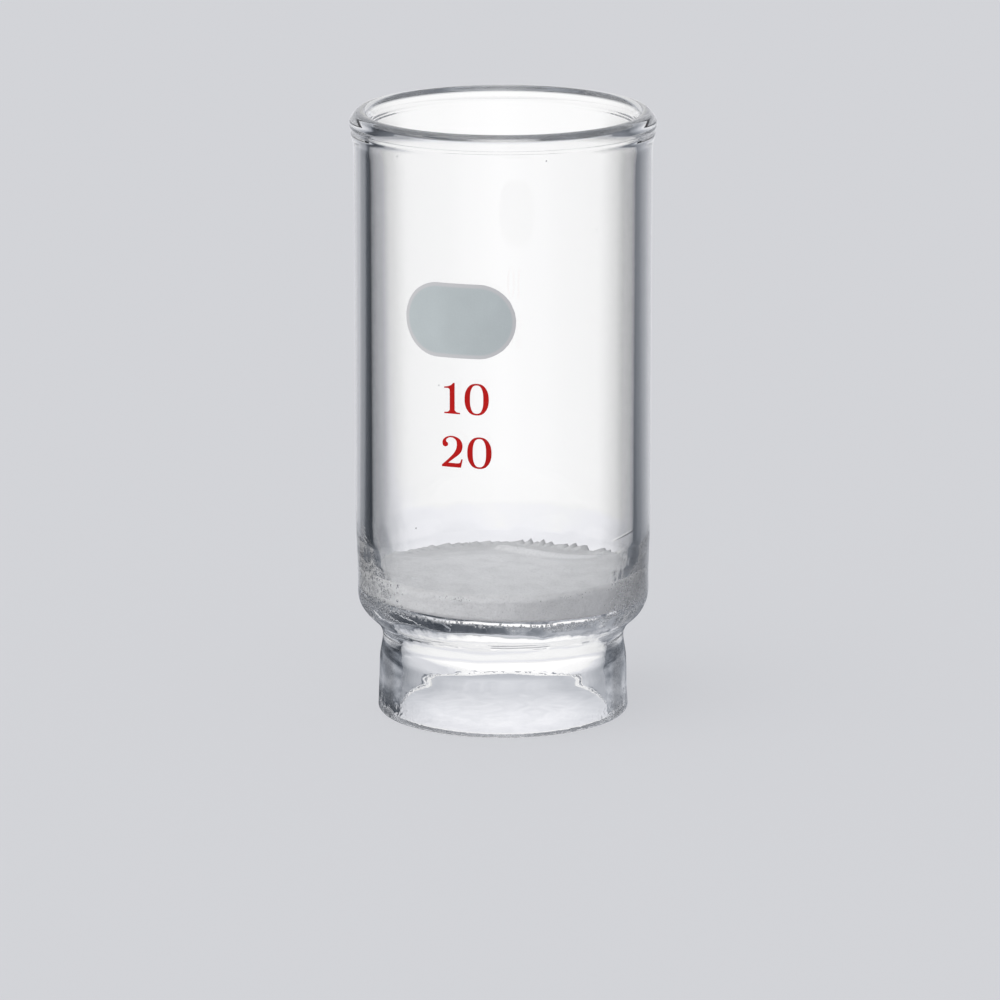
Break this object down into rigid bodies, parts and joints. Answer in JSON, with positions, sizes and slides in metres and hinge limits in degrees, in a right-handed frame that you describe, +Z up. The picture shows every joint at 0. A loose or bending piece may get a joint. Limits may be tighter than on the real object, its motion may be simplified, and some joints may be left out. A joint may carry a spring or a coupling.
{
  "type": "gooch crucible",
  "caption": "Clear glass filter crucible: straight cup with a beaded rim, a sintered glass disc sealed in above the shoulder, and a short open collar as its foot.",
  "frame": {"origin": "on the axis, in the plane of the foot that the crucible stands on", "axes": "+Z up along the axis, out of the mouth of the cup; -Y towards the side with the enamel spot"},
  "size_m": [0.033, 0.033, 0.066],
  "materials": {
    "clear_glass": "clear polished borosilicate glass",
    "sintered_glass": "matt, porous and finely grained",
    "grey_enamel": "satin"
  },
  "bodies": {
    "root": {"glass_body": "clear_glass", "sintered_disc": "sintered_glass", "enamel_spot": "grey_enamel"}
  },
  "joints": []
}
